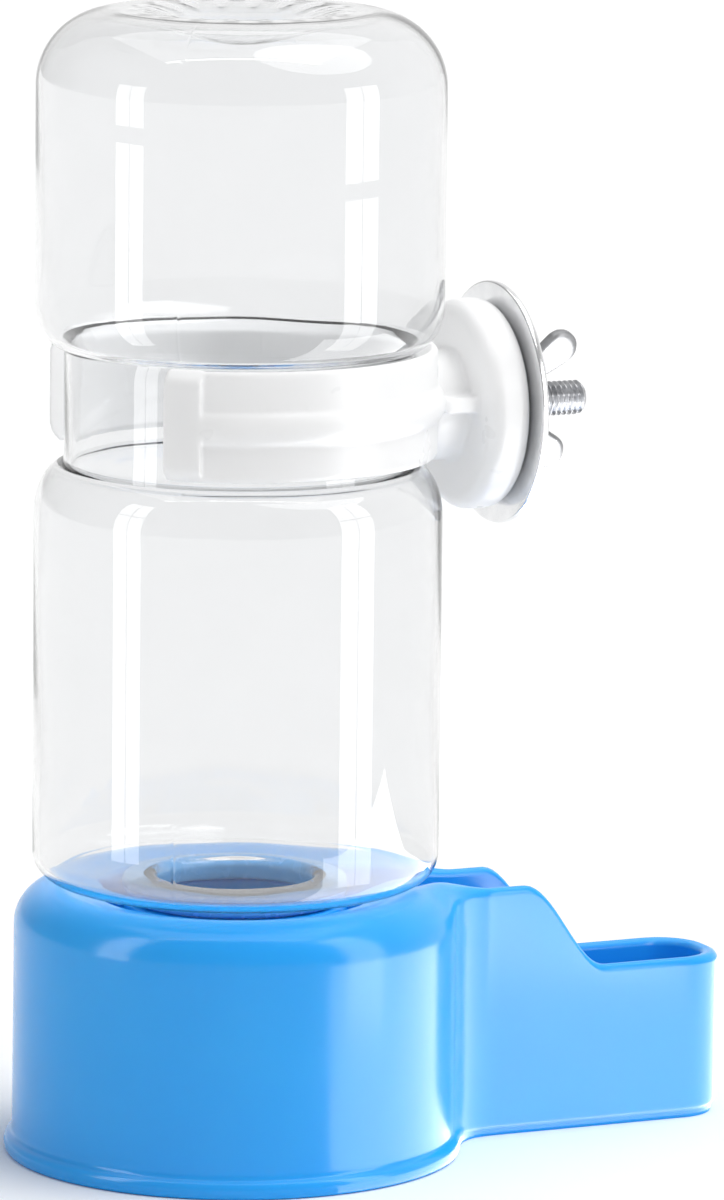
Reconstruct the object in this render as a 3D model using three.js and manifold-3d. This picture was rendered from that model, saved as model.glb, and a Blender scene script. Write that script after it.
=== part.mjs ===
// Gravity water bottle for a rabbit or poultry cage: a clear bottle stands upside down in a moulded
// drinking base, and a C-shaped clip with a bolt, washer and wing nut holds it to the cage wires.
// Millimetres, +Z up. The bottle's axis is x = 0 while the pieces are made; the finished group is then
// moved along X so that the origin is under the middle of the whole object.
import * as THREE from 'three';
import { mergeVertices } from 'three/addons/utils/BufferGeometryUtils.js';
import Module from 'manifold-3d';

const wasm = await Module();
wasm.setup();

// ---- driving dimensions ----

const SEGMENTS = 36; // facets round a turned piece
const RING_SEGMENTS = 48; // facets round the clip's ring
const GAP = 0.3; // clearance between pieces that touch

// drinking base
const DRUM_R = 38.1;
const FLANGE_R = 39.7;
const FLANGE_H = 3;
const BASE_WALL = 2.2;
const SHOULDER_R = 7.3; // rounding of the drum's top edge
const CREST_Z = 46.5;
const OPENING_R = 23.5;
const OPENING_Z = 45.2;
const FLOOR_Z = 3.5;
const UNDERSIDE_Z = 1.5;
const TROUGH_HALF = 9.95;
const TROUGH_END = 91.5;
const TROUGH_CORNER = 8.5;
const TROUGH_FILLET = 13;
const CHANNEL_HALF = 7.1;
const CHANNEL_MOUTH_R = 12; // flare of the channel where it leaves the opening
const CHANNEL_RIM_Z = 44;
const CUP_RIM_Z = 28.8;
const SWEEP_START = 51; // the rim drops from the channel to the cup between these two distances
const SWEEP_END = 67;

// threads of the bottle's neck
const THREAD_PITCH = 4.5;
const THREAD_TURNS = 1.25;
const THREAD_RIDGE = 1.4;
const THREAD_START_Z = 29.5;

// bottle socket
const SOCKET_BORE_R = 16.9;
const SOCKET_R = 19.3;
const SOCKET_FOOT_R = 21.3;
const SOCKET_FOOT_H = 2.4;
const SOCKET_LEGS = 4;
const SOCKET_LEG_WIDTH = 6;
const SOCKET_WINDOW_TOP = 26;
const SOCKET_TOP = 44;

// bottle
const BOTTLE_R = 35;
const BOTTLE_WALL = 1.1;
const NECK_R = 15;
const NECK_BORE_R = 13.2;
const MOUTH_Z = 24;
const BOTTLE_SHOULDER_Z = 47.6;
const WAIST_R = 29.9;
const WAIST_BOTTOM_Z = 120;
const WAIST_TOP_Z = 140;
const BOTTLE_TOP_Z = 197.6;
const TOP_CORNER_R = 13;
const PUNT_R = 19.5; // hollow in the bottle's own bottom, which is on top here
const PUNT_DEPTH = 4;

// clip
const RING_INNER_R = 30.4;
const RING_R = 33.9;
const RING_RIB_R = 35.2;
const RING_BOTTOM_Z = 121.4;
const RING_TOP_Z = 140.4;
const RING_HALF_ANGLE = 134.8; // degrees from the arm to each end of the ring
const LIP_ANGLE = 10.8; // degrees that the thick bar at each end takes
const BOLT_Z = 128;
const ARM_R = 9.5;
const PLATE_HALF = 13;
const PLATE_BOTTOM_Z = 128.3;
const PLATE_TOP_Z = 131;
const PAD_BACK = 39.3;
const PAD_FACE = 47.2;
const PAD_R = 18.2;

// clamp hardware
const BOLT_R = 3;
const BOLT_END = 64.7;
const HEAD_BACK = 35;
const HEAD_FACE = 39;
const HEAD_ACROSS_CORNERS_R = 5.77;
const WASHER_R = 21;
const WASHER_THICKNESS = 1.4;
const NUT_HUB_R = 5.6;
const NUT_HUB_LENGTH = 7.2;
const NUT_TURN = 14; // degrees that the wings lean from upright
const WING_THICKNESS = 2.4;
const WING_TIP_R = 3;
const WING_TIP_CENTRE = [10.2, 9.7]; // from the nut's inner face and from its axis

// ---- turning shapes into solids ----

function toSolid(geometry) {
  geometry.deleteAttribute('normal');
  geometry.deleteAttribute('uv');
  const merged = mergeVertices(geometry, 1e-4);
  const index = merged.index.array;
  const triangles = [];
  for (let i = 0; i < index.length; i += 3) {
    const [a, b, c] = [index[i], index[i + 1], index[i + 2]];
    if (a !== b && b !== c && c !== a) {
      triangles.push(a, b, c);
    }
  }
  return new wasm.Manifold(new wasm.Mesh({
    numProp: 3,
    vertProperties: new Float32Array(merged.attributes.position.array),
    triVerts: new Uint32Array(triangles),
  }));
}

// Points of an elliptical arc, angles in degrees, both ends included.
function arc(centreR, centreZ, radiusR, radiusZ, from, to, steps) {
  const points = [];
  for (let i = 0; i <= steps; i += 1) {
    const angle = THREE.MathUtils.degToRad(from + (to - from) * i / steps);
    points.push([centreR + radiusR * Math.cos(angle), centreZ + radiusZ * Math.sin(angle)]);
  }
  return points;
}

// Geometry turned about Z from [radius, height] pairs. A profile off the axis closes on itself.
function turnedGeometry(profile, segments = SEGMENTS) {
  const points = profile.map(([r, z]) => new THREE.Vector2(r, z));
  if (profile[0][0] > 0) {
    points.push(points[0].clone());
  }
  return new THREE.LatheGeometry(points, segments).rotateX(Math.PI / 2);
}

function turned(profile, segments) {
  return toSolid(turnedGeometry(profile, segments));
}

// The same about the bolt's axis, from [radius, distance from the bottle's axis] pairs.
function turnedOnBolt(profile, segments) {
  return toSolid(turnedGeometry(profile, segments).rotateY(Math.PI / 2).translate(0, 0, BOLT_Z));
}

function extruded(shape, bottom, top) {
  const geometry = new THREE.ExtrudeGeometry(shape, {
    depth: top - bottom, bevelEnabled: false, curveSegments: 8,
  });
  return toSolid(geometry.translate(0, 0, bottom));
}

function box(x0, x1, y0, y1, z0, z1) {
  const geometry = new THREE.BoxGeometry(x1 - x0, y1 - y0, z1 - z0);
  return toSolid(geometry.translate((x0 + x1) / 2, (y0 + y1) / 2, (z0 + z1) / 2));
}

// A round-backed screw thread ridge. It sinks by its own radius at both ends, so it runs out smoothly.
class ThreadLine extends THREE.Curve {
  constructor(radius, sink, startZ) {
    super();
    this.radius = radius;
    this.sink = sink;
    this.startZ = startZ;
  }

  getPoint(t, target = new THREE.Vector3()) {
    const angle = 2 * Math.PI * THREAD_TURNS * t;
    const fade = Math.max(0, 1 - Math.min(t, 1 - t) / 0.08);
    const r = this.radius + this.sink * fade;
    const z = this.startZ + THREAD_PITCH * THREAD_TURNS * t;
    return target.set(r * Math.cos(angle), r * Math.sin(angle), z);
  }
}

function threadRidge(radius, sink, startZ) {
  const section = new THREE.Shape().absarc(0, 0, THREAD_RIDGE, 0, 2 * Math.PI);
  return toSolid(new THREE.ExtrudeGeometry(section, {
    steps: 30, curveSegments: 3, extrudePath: new ThreadLine(radius, sink, startZ),
  }));
}

// ---- drinking base ----

// Plan of the trough with its two fillets to the drum, from inside the drum to the round end.
function troughPlan(start, drumR, half, fillet, end, corner) {
  const filletX = Math.sqrt((drumR + fillet) ** 2 - (half + fillet) ** 2);
  const filletY = half + fillet;
  const touch = Math.atan2(filletY, filletX);
  const shape = new THREE.Shape();
  shape.moveTo(start, -drumR * Math.sin(touch));
  shape.lineTo(drumR * Math.cos(touch), -drumR * Math.sin(touch));
  shape.absarc(filletX, -filletY, fillet, Math.PI - touch, Math.PI / 2, true);
  shape.absarc(end - corner, -half + corner, corner, -Math.PI / 2, 0, false);
  shape.absarc(end - corner, half - corner, corner, 0, Math.PI / 2, false);
  shape.absarc(filletX, filletY, fillet, -Math.PI / 2, -Math.PI + touch, true);
  shape.lineTo(start, drumR * Math.sin(touch));
  return shape;
}

// Side view of the trough: level at the channel, a smooth drop, level again at the cup.
function troughSide() {
  const shape = new THREE.Shape();
  shape.moveTo(10, 0);
  shape.lineTo(TROUGH_END + 1, 0);
  shape.lineTo(TROUGH_END + 1, CUP_RIM_Z);
  const steps = 12;
  for (let i = 0; i <= steps; i += 1) {
    const along = i / steps;
    const rise = 0.5 - 0.5 * Math.cos(Math.PI * along);
    const x = THREE.MathUtils.lerp(SWEEP_END, SWEEP_START, along);
    shape.lineTo(x, THREE.MathUtils.lerp(CUP_RIM_Z, CHANNEL_RIM_Z, rise));
  }
  shape.lineTo(42, CHANNEL_RIM_Z);
  shape.lineTo(32, OPENING_Z);
  shape.lineTo(10, OPENING_Z);
  return shape;
}

function makeBase() {
  const shoulderX = DRUM_R - SHOULDER_R;
  const shoulderZ = CREST_Z - SHOULDER_R;
  const drum = turned([
    [0, 0],
    [FLANGE_R - 1.5, 0],
    ...arc(FLANGE_R - 1.5, FLANGE_H / 2, 1.5, FLANGE_H / 2, -60, 60, 4),
    [DRUM_R + 0.2, FLANGE_H],
    ...arc(shoulderX, shoulderZ, SHOULDER_R, SHOULDER_R, 0, 90, 7),
    [OPENING_R + 1, OPENING_Z + 0.1],
    [OPENING_R, OPENING_Z - 0.8],
    [0, OPENING_Z - 0.8],
  ]);

  const sideDepth = 2 * DRUM_R;
  const sideGeometry = new THREE.ExtrudeGeometry(troughSide(), { depth: sideDepth, bevelEnabled: false });
  const side = toSolid(sideGeometry.rotateX(Math.PI / 2).translate(0, DRUM_R, 0));
  const trough = extruded(
    troughPlan(OPENING_R, DRUM_R, TROUGH_HALF, TROUGH_FILLET, TROUGH_END, TROUGH_CORNER), 0, CREST_Z,
  ).intersect(side);
  const flange = extruded(
    troughPlan(OPENING_R, FLANGE_R - 0.2, TROUGH_HALF + 0.1, TROUGH_FILLET - 1.5, TROUGH_END - 1, TROUGH_CORNER),
    0, FLANGE_H,
  );

  const innerEnd = TROUGH_END - (TROUGH_HALF - CHANNEL_HALF);
  const waterPlan = troughPlan(0, OPENING_R, CHANNEL_HALF, CHANNEL_MOUTH_R, innerEnd, CHANNEL_HALF - 1);
  const basin = turned([
    [0, FLOOR_Z],
    [OPENING_R - 1.5, FLOOR_Z],
    [OPENING_R, FLOOR_Z + 1.5],
    [OPENING_R, CREST_Z + 5],
    [0, CREST_Z + 5],
  ]);
  const water = extruded(waterPlan, FLOOR_Z, CREST_Z + 5).add(basin);

  // Open hollow between the basin and the outer skirt, which the trough crosses.
  const basinOuter = OPENING_R + BASE_WALL;
  const innerShoulder = SHOULDER_R - BASE_WALL;
  const crossing = TROUGH_HALF + BASE_WALL / 2;
  const hollow = turned([
    [basinOuter, -1],
    [DRUM_R - BASE_WALL, -1],
    ...arc(shoulderX, shoulderZ, innerShoulder, innerShoulder, 0, 90, 4),
    [basinOuter, OPENING_Z - BASE_WALL - 0.8],
  ]).subtract(box(0, DRUM_R, -crossing, crossing, -2, CREST_Z));
  const recess = turned([
    [0, -1],
    [OPENING_R, -1],
    [OPENING_R, UNDERSIDE_Z],
    [0, UNDERSIDE_Z],
  ]).add(extruded(waterPlan, -1, UNDERSIDE_Z));

  return drum.add(trough).add(flange).subtract(water).subtract(hollow).subtract(recess);
}

// ---- bottle socket and seal ----

// Threaded collar on legs. Water runs from the bottle's mouth out between the legs.
function makeSocket() {
  const footBottom = FLOOR_Z + GAP;
  const footTop = footBottom + SOCKET_FOOT_H;
  const tube = turned([
    [SOCKET_BORE_R, footBottom],
    [SOCKET_FOOT_R, footBottom],
    [SOCKET_FOOT_R, footTop],
    [SOCKET_R, footTop],
    [SOCKET_R, SOCKET_TOP],
    [SOCKET_BORE_R, SOCKET_TOP],
  ]);
  let windows = box(-SOCKET_FOOT_R, SOCKET_FOOT_R, -SOCKET_FOOT_R, SOCKET_FOOT_R, footTop, SOCKET_WINDOW_TOP);
  for (let i = 0; i < SOCKET_LEGS; i += 1) {
    const leg = new THREE.BoxGeometry(SOCKET_R, SOCKET_LEG_WIDTH, SOCKET_TOP);
    leg.translate(SOCKET_R, 0, SOCKET_TOP / 2);
    leg.rotateZ(Math.PI / SOCKET_LEGS + 2 * Math.PI * i / SOCKET_LEGS);
    windows = windows.subtract(toSolid(leg));
  }
  const ridge = threadRidge(SOCKET_BORE_R + 0.2, THREAD_RIDGE * 0.7, THREAD_START_Z - THREAD_PITCH / 2);
  return tube.subtract(windows).add(ridge);
}

// Flat silicone ring between the socket's top and the bottle's shoulder.
function makeSeal() {
  return turned([
    [NECK_R + GAP, SOCKET_TOP + GAP],
    [SOCKET_R, SOCKET_TOP + GAP],
    [SOCKET_R, BOTTLE_SHOULDER_Z - GAP],
    [NECK_R + GAP, BOTTLE_SHOULDER_Z - GAP],
  ]);
}

// ---- bottle ----

// Outline of the bottle's body, drawn in by the inset, from the neck's shoulder to the top of the axis.
function bodyOutline(inset) {
  const flare = BOTTLE_R - WAIST_R + 0.1;
  const top = TOP_CORNER_R - inset;
  const corner = 5 - inset;
  const outline = [
    ...arc(BOTTLE_R - 5, BOTTLE_SHOULDER_Z + 5, corner, corner, -90, 0, 3),
    ...arc(WAIST_R - 0.1, WAIST_BOTTOM_Z - 9, flare - inset, 9 - inset, 0, 80, 4),
    [WAIST_R - inset, WAIST_BOTTOM_Z],
    [WAIST_R - inset, WAIST_TOP_Z],
    ...arc(WAIST_R - 0.1, WAIST_TOP_Z + 8, flare - inset, 8 - inset, -80, 0, 4),
    ...arc(BOTTLE_R - TOP_CORNER_R, BOTTLE_TOP_Z - TOP_CORNER_R, top, top, 0, 90, 5),
  ];
  const puntSteps = 4;
  for (let i = 0; i <= puntSteps; i += 1) {
    const along = i / puntSteps;
    const dip = 0.5 - 0.5 * Math.cos(Math.PI * along);
    outline.push([PUNT_R * (1 - along), BOTTLE_TOP_Z - inset - PUNT_DEPTH * dip]);
  }
  return outline;
}

function makeBottle() {
  const outside = turned([
    [0, MOUTH_Z],
    [NECK_R - 0.6, MOUTH_Z],
    [NECK_R, MOUTH_Z + 0.6],
    [NECK_R, BOTTLE_SHOULDER_Z],
    ...bodyOutline(0),
  ]);
  const inside = turned([
    [0, MOUTH_Z - 1],
    [NECK_BORE_R, MOUTH_Z - 1],
    [NECK_BORE_R, BOTTLE_SHOULDER_Z + BOTTLE_WALL],
    ...bodyOutline(BOTTLE_WALL),
  ]);
  const ridge = threadRidge(NECK_R, -THREAD_RIDGE * 0.8, THREAD_START_Z);
  return outside.add(ridge).subtract(inside);
}

// ---- clip ----

// A wedge of the ring's height that spans the angles given in degrees, out to the given radius.
function wedge(from, to, reach) {
  const shape = new THREE.Shape();
  shape.moveTo(0, 0);
  const steps = 8;
  for (let i = 0; i <= steps; i += 1) {
    const angle = THREE.MathUtils.degToRad(from + (to - from) * i / steps);
    shape.lineTo(reach * Math.cos(angle), reach * Math.sin(angle));
  }
  return extruded(shape, RING_BOTTOM_Z - 1, RING_TOP_Z + 1);
}

function makeClip() {
  const ribZ = 131;
  const bore = [
    [0, RING_BOTTOM_Z - 5],
    [BOTTLE_R, RING_BOTTOM_Z - 5],
    [RING_INNER_R + 2.6, RING_BOTTOM_Z - 1.4],
    [RING_INNER_R, RING_BOTTOM_Z + 1],
    [RING_INNER_R, RING_TOP_Z - 2],
    [RING_INNER_R + 2.7, RING_TOP_Z + 1],
    [0, RING_TOP_Z + 1],
  ];
  const band = turned([
    [0, RING_BOTTOM_Z],
    [RING_R - 0.6, RING_BOTTOM_Z],
    [RING_R, RING_BOTTOM_Z + 0.6],
    [RING_R, ribZ - 3.2],
    [RING_RIB_R - 0.3, ribZ - 1.4],
    [RING_RIB_R, ribZ],
    [RING_RIB_R - 0.3, ribZ + 1.4],
    [RING_R, ribZ + 2.4],
    [RING_R, RING_TOP_Z - 0.6],
    [RING_R - 0.6, RING_TOP_Z],
    [0, RING_TOP_Z],
  ], RING_SEGMENTS);
  const openEnd = wedge(RING_HALF_ANGLE, 360 - RING_HALF_ANGLE, 2 * RING_R);

  // The thick bars at the ring's ends have rounded top and bottom corners.
  const lipCorner = 3;
  const lipBody = turned([
    [0, RING_BOTTOM_Z],
    ...arc(RING_RIB_R - lipCorner, RING_BOTTOM_Z + lipCorner, lipCorner, lipCorner, -90, 0, 3),
    ...arc(RING_RIB_R - lipCorner, RING_TOP_Z - lipCorner, lipCorner, lipCorner, 0, 90, 3),
    [0, RING_TOP_Z],
  ], RING_SEGMENTS);
  const lips = lipBody.intersect(wedge(RING_HALF_ANGLE - LIP_ANGLE, RING_HALF_ANGLE, 2 * RING_R))
    .add(lipBody.intersect(wedge(-RING_HALF_ANGLE, LIP_ANGLE - RING_HALF_ANGLE, 2 * RING_R)));

  const arm = turnedOnBolt([
    [0, RING_INNER_R - 4], [ARM_R, RING_INNER_R - 4], [ARM_R, PAD_BACK + 1], [0, PAD_BACK + 1],
  ]);
  const plate = box(RING_INNER_R - 4, PAD_BACK + 1, -PLATE_HALF, PLATE_HALF, PLATE_BOTTOM_Z, PLATE_TOP_Z);
  const pad = turnedOnBolt([
    [0, PAD_BACK],
    ...arc(PAD_R - 2.2, PAD_BACK + 1.6, 1.6, 1.6, -90, 0, 3),
    [PAD_R, PAD_FACE - 3],
    ...arc(PAD_R - 3, PAD_FACE - 3, 3, 3, 0, 90, 4),
    [0, PAD_FACE],
  ]);

  // Room for the bolt, whose head the arm holds.
  const headR = HEAD_ACROSS_CORNERS_R + GAP;
  const boltRoom = turnedOnBolt([
    [0, HEAD_BACK - GAP], [headR, HEAD_BACK - GAP], [headR, HEAD_FACE + GAP], [0, HEAD_FACE + GAP],
  ], 6).add(turnedOnBolt([
    [0, HEAD_BACK], [BOLT_R + GAP, HEAD_BACK], [BOLT_R + GAP, PAD_FACE + 1], [0, PAD_FACE + 1],
  ], 24));

  return band.add(lips).subtract(openEnd).add(arm).add(plate).subtract(turned(bore, RING_SEGMENTS))
    .add(pad).subtract(boltRoom);
}

// ---- clamp hardware ----

function makeBolt() {
  const head = turnedOnBolt([
    [0, HEAD_BACK], [HEAD_ACROSS_CORNERS_R, HEAD_BACK], [HEAD_ACROSS_CORNERS_R, HEAD_FACE], [0, HEAD_FACE],
  ], 6);
  const shank = turnedOnBolt([
    [0, HEAD_BACK + 1],
    [BOLT_R, HEAD_BACK + 1],
    [BOLT_R, BOLT_END - 0.7],
    [BOLT_R - 0.7, BOLT_END],
    [0, BOLT_END],
  ], 24);
  return head.add(shank);
}

const WASHER_BACK = PAD_FACE + GAP;
const NUT_BACK = WASHER_BACK + WASHER_THICKNESS + GAP;

function makeWasher() {
  return turnedOnBolt([
    [BOLT_R + GAP, WASHER_BACK],
    [WASHER_R, WASHER_BACK],
    [WASHER_R, WASHER_BACK + WASHER_THICKNESS],
    [BOLT_R + GAP, WASHER_BACK + WASHER_THICKNESS],
  ]);
}

// One wing in side view: x along the bolt from the nut's inner face, y away from the bolt's axis.
function wingShape() {
  const [tipX, tipY] = WING_TIP_CENTRE;
  const shape = new THREE.Shape();
  shape.moveTo(0.8, 3.8);
  shape.lineTo(0.8, NUT_HUB_R - 0.6);
  shape.lineTo(3.4, 7.4);
  shape.absarc(tipX, tipY, WING_TIP_R, Math.PI * 0.72, -Math.PI * 0.28, true);
  shape.lineTo(NUT_HUB_LENGTH - 0.4, 4.6);
  shape.lineTo(NUT_HUB_LENGTH - 0.4, 3.8);
  return shape;
}

function makeWingNut() {
  let nut = turnedOnBolt([
    [0, NUT_BACK],
    [NUT_HUB_R, NUT_BACK],
    [NUT_HUB_R, NUT_BACK + 2],
    [NUT_HUB_R - 1, NUT_BACK + NUT_HUB_LENGTH],
    [0, NUT_BACK + NUT_HUB_LENGTH],
  ], 32);
  for (const side of [0, Math.PI]) {
    const wing = new THREE.ExtrudeGeometry(wingShape(), {
      depth: WING_THICKNESS, bevelEnabled: false, curveSegments: 10,
    });
    wing.translate(0, 0, -WING_THICKNESS / 2);
    wing.rotateX(Math.PI / 2 + side + THREE.MathUtils.degToRad(NUT_TURN));
    wing.translate(NUT_BACK, 0, BOLT_Z);
    nut = nut.add(toSolid(wing));
  }
  return nut.subtract(turnedOnBolt([
    [0, NUT_BACK - 1], [BOLT_R + GAP, NUT_BACK - 1], [BOLT_R + GAP, BOLT_END], [0, BOLT_END],
  ], 24));
}

// ---- assembly ----

const bluePlastic = { color: 0x3aa0f0, roughness: 0.2, metalness: 0 };
const clearPlastic = { color: 0xe9f0f4, roughness: 0.05, metalness: 0, transparent: true, opacity: 0.35 };
const softRing = { color: 0xe6e9ea, roughness: 0.5, metalness: 0 };
const whitePlastic = { color: 0xf4f5f6, roughness: 0.3, metalness: 0 };
const zincSteel = { color: 0xc4c8cc, roughness: 0.3, metalness: 1 };

const group = new THREE.Group();
const middleX = (TROUGH_END - FLANGE_R) / 2;

function addPiece(name, solid, finish) {
  const mesh = solid.getMesh();
  const geometry = new THREE.BufferGeometry();
  geometry.setAttribute('position', new THREE.BufferAttribute(mesh.vertProperties, 3));
  geometry.setIndex(new THREE.BufferAttribute(mesh.triVerts, 1));
  const piece = new THREE.Mesh(geometry, new THREE.MeshStandardMaterial(finish));
  piece.name = name;
  piece.position.x = -middleX;
  group.add(piece);
}

addPiece('base', makeBase(), bluePlastic);
addPiece('bottle_socket', makeSocket(), bluePlastic);
addPiece('neck_seal', makeSeal(), softRing);
addPiece('bottle', makeBottle(), clearPlastic);
addPiece('clip', makeClip(), whitePlastic);
addPiece('bolt', makeBolt(), zincSteel);
addPiece('washer', makeWasher(), zincSteel);
addPiece('wing_nut', makeWingNut(), zincSteel);

export default group;
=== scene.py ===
import math

import bmesh
import bpy
from mathutils import Matrix, Vector


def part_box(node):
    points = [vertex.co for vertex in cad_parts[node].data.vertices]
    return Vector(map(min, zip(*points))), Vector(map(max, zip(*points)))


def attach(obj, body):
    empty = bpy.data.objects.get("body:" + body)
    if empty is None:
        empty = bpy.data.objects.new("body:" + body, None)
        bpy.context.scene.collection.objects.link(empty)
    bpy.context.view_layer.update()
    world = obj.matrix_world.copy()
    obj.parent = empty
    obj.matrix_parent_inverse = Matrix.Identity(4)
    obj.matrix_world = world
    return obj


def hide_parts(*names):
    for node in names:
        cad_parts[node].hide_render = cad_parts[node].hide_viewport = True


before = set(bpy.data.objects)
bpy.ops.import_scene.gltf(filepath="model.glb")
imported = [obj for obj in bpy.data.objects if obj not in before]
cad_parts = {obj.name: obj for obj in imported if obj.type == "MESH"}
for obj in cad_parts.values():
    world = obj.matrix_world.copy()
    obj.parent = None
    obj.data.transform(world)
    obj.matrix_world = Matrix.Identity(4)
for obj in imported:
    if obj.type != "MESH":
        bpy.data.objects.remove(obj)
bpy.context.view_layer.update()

# ---- Table, camera and studio light ----
# The bottle stands on a wide white table under soft light. Two tall window panels stand close in front,
# one on each side, and give the upright streaks on the clear wall and on the blue base.

MM = 0.001
bottle_low, bottle_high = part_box("bottle")
AXIS = Vector(((bottle_low.x + bottle_high.x) / 2, 0, 0))  # the bottle's axis on the table

CAMERA_TURN = math.radians(23.5)  # the camera stands this far round to the left of the front
CAMERA_DISTANCE = 1438.2 * MM
CAMERA_HEIGHT = 344.2 * MM
CAMERA_TILT = 0.1707
CAMERA_ROLL = 0.011086
CAMERA_PAN = 0.014837
CAMERA_LENS = 255.5

to_right = Vector((math.cos(CAMERA_TURN), -math.sin(CAMERA_TURN), 0))
to_back = Vector((math.sin(CAMERA_TURN), math.cos(CAMERA_TURN), 0))
up = Vector((0, 0, 1))
look = (to_right * math.sin(CAMERA_PAN) + to_back * math.cos(CAMERA_PAN)) * math.cos(CAMERA_TILT)
look -= up * math.sin(CAMERA_TILT)
side = to_right * math.cos(CAMERA_PAN) - to_back * math.sin(CAMERA_PAN)
over = side.cross(look)
tilted_side = side * math.cos(CAMERA_ROLL) + over * math.sin(CAMERA_ROLL)
tilted_over = over * math.cos(CAMERA_ROLL) - side * math.sin(CAMERA_ROLL)

camera = bpy.data.objects.new("camera", bpy.data.cameras.new("camera"))
bpy.context.scene.collection.objects.link(camera)
camera.data.lens = CAMERA_LENS
camera.data.clip_end = 60
turn = Matrix((tilted_side, tilted_over, -look)).transposed().to_4x4()
camera.matrix_world = Matrix.Translation(AXIS - to_back * CAMERA_DISTANCE + up * CAMERA_HEIGHT) @ turn
bpy.context.scene.camera = camera
bpy.context.scene.view_settings.view_transform = "Standard"


def start_finish(name, **fixed):
    """A new material with one Principled shader; fixed values go straight on the shader's sockets."""
    material = bpy.data.materials.new(name)
    material.use_nodes = True
    shader = material.node_tree.nodes["Principled BSDF"]
    for socket, value in fixed.items():
        shader.inputs[socket.replace("_", " ")].default_value = value
    return material, material.node_tree, shader


def mottle(tree, scale, detail=3.0):
    """Noise that is fixed to the piece, as a node to wire on."""
    place = tree.nodes.new("ShaderNodeTexCoord")
    noise = tree.nodes.new("ShaderNodeTexNoise")
    noise.inputs["Scale"].default_value = scale
    noise.inputs["Detail"].default_value = detail
    tree.links.new(place.outputs["Object"], noise.inputs["Vector"])
    return noise


def shade_between(tree, source, low, high, target):
    """Turns a noise into a colour that lies between two close shades."""
    ramp = tree.nodes.new("ShaderNodeValToRGB")
    ramp.color_ramp.elements[0].position = 0.3
    ramp.color_ramp.elements[1].position = 0.7
    ramp.color_ramp.elements[0].color = (*low, 1)
    ramp.color_ramp.elements[1].color = (*high, 1)
    tree.links.new(source, ramp.inputs["Fac"])
    tree.links.new(ramp.outputs["Color"], target)


def gloss_between(tree, source, low, high, target):
    """Turns a noise into a roughness between two values."""
    spread = tree.nodes.new("ShaderNodeMapRange")
    spread.inputs["From Min"].default_value = 0.3
    spread.inputs["From Max"].default_value = 0.7
    spread.inputs["To Min"].default_value = low
    spread.inputs["To Max"].default_value = high
    tree.links.new(source, spread.inputs["Value"])
    tree.links.new(spread.outputs["Result"], target)


def surface_grain(tree, source, strength, height, shader):
    """A fine unevenness of the skin, height in millimetres."""
    bump = tree.nodes.new("ShaderNodeBump")
    bump.inputs["Strength"].default_value = strength
    bump.inputs["Distance"].default_value = height * MM
    tree.links.new(source, bump.inputs["Height"])
    tree.links.new(bump.outputs["Normal"], shader.inputs["Normal"])


TABLE_HALF = 9.0
table_mesh = bpy.data.meshes.new("table")
table_mesh.from_pydata(
    [(-TABLE_HALF, -TABLE_HALF, 0), (TABLE_HALF, -TABLE_HALF, 0),
     (TABLE_HALF, TABLE_HALF, 0), (-TABLE_HALF, TABLE_HALF, 0)],
    [], [(0, 1, 2, 3)],
)
table = bpy.data.objects.new("table", table_mesh)
bpy.context.scene.collection.objects.link(table)
table_white, table_tree, table_shader = start_finish("table_white", Roughness=0.9, Specular_IOR_Level=0.1)
shade_between(table_tree, mottle(table_tree, 3).outputs["Fac"],
              (0.95, 0.95, 0.95), (0.96, 0.96, 0.96), table_shader.inputs["Base Color"])
table_mesh.materials.append(table_white)

world = bpy.data.worlds.new("studio")
world.use_nodes = True
bpy.context.scene.world = world
sky = world.node_tree
sky_place = sky.nodes.new("ShaderNodeTexCoord")
sky_facing = sky.nodes.new("ShaderNodeVectorMath")
sky_facing.operation = "DOT_PRODUCT"
sky_facing.inputs[1].default_value = (to_back + to_right * 0.7 + up * 0.1).normalized()
sky_ramp = sky.nodes.new("ShaderNodeValToRGB")
sky_ramp.color_ramp.elements[0].position = 0.1
sky_ramp.color_ramp.elements[0].color = (0.46, 0.46, 0.46, 1)
sky_ramp.color_ramp.elements[1].position = 0.85
sky_ramp.color_ramp.elements[1].color = (1.0, 1.0, 1.0, 1)
sky.links.new(sky_place.outputs["Generated"], sky_facing.inputs[0])
sky.links.new(sky_facing.outputs["Value"], sky_ramp.inputs["Fac"])
sky.links.new(sky_ramp.outputs["Color"], sky.nodes["Background"].inputs["Color"])


def studio_panel(name, around, distance, height, width, tall, glow, aim_height):
    """A soft panel. Around is in degrees from the camera's side of the bottle, positive to the right."""
    lamp = bpy.data.lights.new(name, "AREA")
    lamp.shape = "RECTANGLE"
    lamp.size = width * MM
    lamp.size_y = tall * MM
    lamp.energy = glow * math.pi * width * tall * MM * MM
    panel = bpy.data.objects.new(name, lamp)
    bpy.context.scene.collection.objects.link(panel)
    angle = math.radians(around)
    away = to_right * math.sin(angle) - to_back * math.cos(angle)
    panel.location = AXIS + away * distance * MM + up * height * MM
    aim = AXIS + up * aim_height * MM
    panel.rotation_euler = (aim - panel.location).to_track_quat("-Z", "Y").to_euler()
    panel.visible_camera = False
    return panel


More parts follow.
